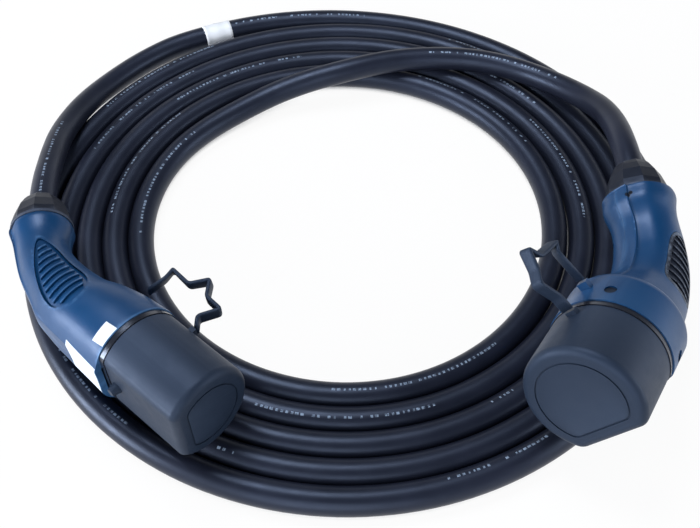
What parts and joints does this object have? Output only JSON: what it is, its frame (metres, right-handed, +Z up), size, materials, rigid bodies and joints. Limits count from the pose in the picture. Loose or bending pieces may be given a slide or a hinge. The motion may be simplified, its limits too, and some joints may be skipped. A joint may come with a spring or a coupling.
{
  "type": "ev charging cable",
  "caption": "Charging cable in a flat coil, with a vehicle connector and a supply plug, each under a tethered dust cap.",
  "frame": {"origin": "on the floor, in the middle of the whole coiled cable with its connectors", "axes": "+Z up, +Y away from the side where both connectors lie, +X towards the supply plug"},
  "size_m": [0.345, 0.3503, 0.0875],
  "materials": {
    "cable_jacket": "satin",
    "housing": "satin",
    "cap": "matte",
    "gland": "satin",
    "seal": "gloss",
    "grip": "matte",
    "nose": "matte",
    "contact": "satin",
    "core": "matte",
    "clamp": "matte",
    "screw": "satin",
    "marker": "matte"
  },
  "bodies": {
    "cable": {"cable_coil": "cable_jacket", "vehicle_lead": "cable_jacket", "supply_lead": "cable_jacket", "marker_sleeve": "marker", "vehicle_housing_left": "housing", "vehicle_housing_right": "housing", "vehicle_nose": "nose", "vehicle_seal_ring": "seal", "vehicle_contact_carrier": "nose", "vehicle_contact_l1": "contact", "vehicle_contact_pe": "contact", "vehicle_contact_n": "contact", "vehicle_contact_cp": "contact", "vehicle_contact_pp": "contact", "vehicle_power_cores": "core", "vehicle_signal_cores": "core", "vehicle_coding_resistor": "nose", "vehicle_cable_clamp": "clamp", "vehicle_clamp_screws": "screw", "vehicle_housing_screws": "screw", "vehicle_gland_nut": "gland", "vehicle_gland_seal": "seal", "supply_housing_left": "housing", "supply_housing_right": "housing", "supply_nose": "nose", "supply_seal_ring": "seal", "supply_contact_carrier": "nose", "supply_contact_l1": "contact", "supply_contact_pe": "contact", "supply_contact_n": "contact", "supply_contact_cp": "contact", "supply_contact_pp": "contact", "supply_power_cores": "core", "supply_signal_cores": "core", "supply_coding_resistor": "nose", "supply_cable_clamp": "clamp", "supply_clamp_screws": "screw", "supply_housing_screws": "screw", "supply_gland_nut": "gland", "supply_gland_seal": "seal", "supply_grip_left": "grip", "supply_grip_right": "grip", "supply_collar": "housing", "supply_collar_screws": "screw"},
    "vehicle_cap": {"vehicle_dust_cap": "cap", "vehicle_tether": "cap"},
    "supply_cap": {"supply_dust_cap": "cap", "supply_tether": "cap"}
  },
  "joints": [
    {"name": "vehicle_cap_off", "type": "slide", "parent": "cable", "child": "vehicle_cap", "axis": [0.7379, -0.6738, 0.0401], "range_m": [0, 0.045], "deforming": ["vehicle_tether"]},
    {"name": "supply_cap_off", "type": "slide", "parent": "cable", "child": "supply_cap", "axis": [-0.5087, -0.8367, 0.2028], "range_m": [0, 0.045], "deforming": ["supply_tether"]}
  ]
}
